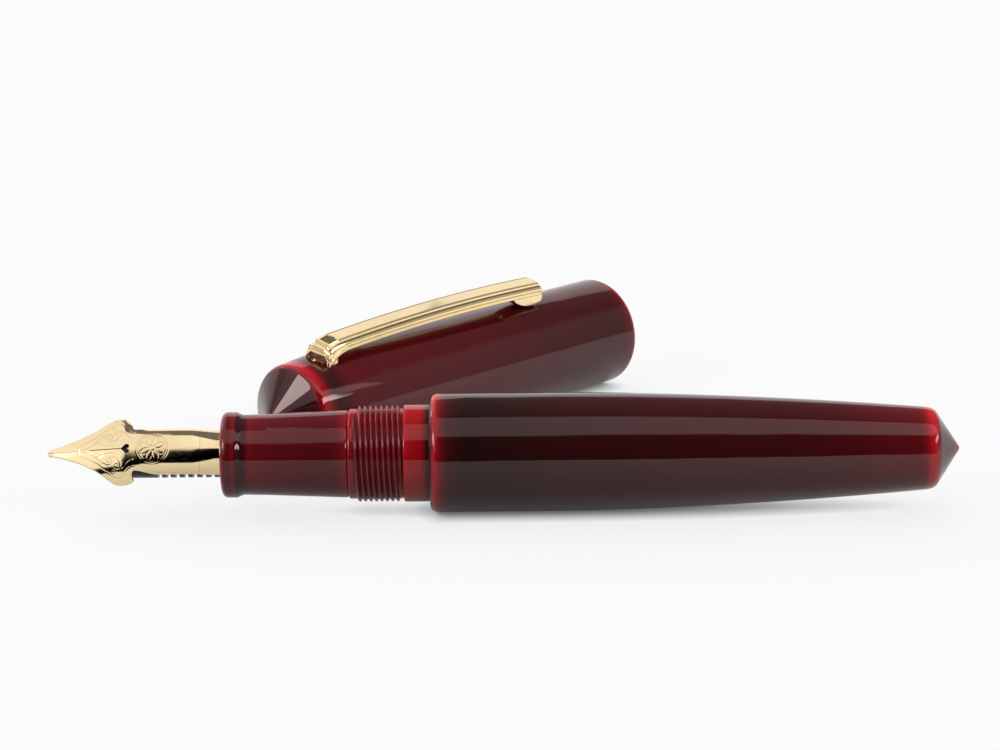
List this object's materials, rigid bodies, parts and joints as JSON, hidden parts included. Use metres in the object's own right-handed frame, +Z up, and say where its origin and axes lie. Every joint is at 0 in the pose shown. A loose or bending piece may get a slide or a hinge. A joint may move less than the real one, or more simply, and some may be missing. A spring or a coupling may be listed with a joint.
{
  "type": "fountain pen",
  "caption": "Round lacquered fountain pen lying uncapped: pointed tail, gold nib, threaded neck, screw converter inside; its clip cap lies beside it.",
  "frame": {"origin": "on the surface the pen lies on, under the middle of the box around pen and cap", "axes": "+X along the pen from the nib to the tail, +Y from the pen to the cap beside it, +Z up"},
  "size_m": [0.119, 0.0772, 0.0194],
  "materials": {
    "lacquer": "polished clear lacquer over red",
    "gold": "polished",
    "ebonite": "satin black",
    "sleeve_brass": "turned",
    "clear_plastic": "clear",
    "steel": "turned",
    "pellet_alloy": "polished"
  },
  "bodies": {
    "barrel": {"barrel": "lacquer"},
    "section_unit": {"section": "lacquer", "joint_sleeve": "sleeve_brass", "feed_housing": "ebonite", "feed": "ebonite", "nib": "gold", "nib_pellet": "pellet_alloy"},
    "converter": {"converter_socket": "ebonite", "converter_tube": "clear_plastic", "converter_band": "gold", "converter_bush": "ebonite"},
    "knob": {"converter_knob": "ebonite"},
    "piston": {"piston_rod": "steel", "piston_head": "ebonite"},
    "cap": {"cap_shell": "lacquer", "inner_cap": "ebonite", "clip_foot": "gold", "clip_washer": "steel", "clip_screw": "steel"},
    "clip": {"clip_arm": "gold"}
  },
  "joints": [
    {"name": "section_draw", "type": "slide", "parent": "barrel", "child": "section_unit", "axis": [-1, 0, 0], "range_m": [0, 0.064]},
    {"name": "converter_pull", "type": "slide", "parent": "section_unit", "child": "converter", "axis": [1, 0, 0], "range_m": [0, 0.006]},
    {"name": "knob_turn", "type": "hinge", "parent": "converter", "child": "knob", "pos_m": [0.0305, -0.03088, 0.00775], "axis": [-1, 0, 0], "range_deg": [0, 1801]},
    {"name": "piston_travel", "type": "slide", "parent": "converter", "child": "piston", "axis": [1, 0, 0], "range_m": [0, 0.015]},
    {"name": "cap_lift", "type": "slide", "parent": "barrel", "child": "cap", "axis": [0, 0, 1], "range_m": [0, 0.05]},
    {"name": "clip_flex", "type": "hinge", "parent": "cap", "child": "clip", "pos_m": [-0.02291, -0.00878, 0.01806], "axis": [0.712, -0.6757, -0.1908], "range_deg": [0, 3], "stiffness_Nm_per_rad": 0.5, "springref_deg": -1.15}
  ],
  "couplings": [
    {"joint": "knob_turn", "follows": "piston_travel", "rad_per_m": 2094.4}
  ]
}
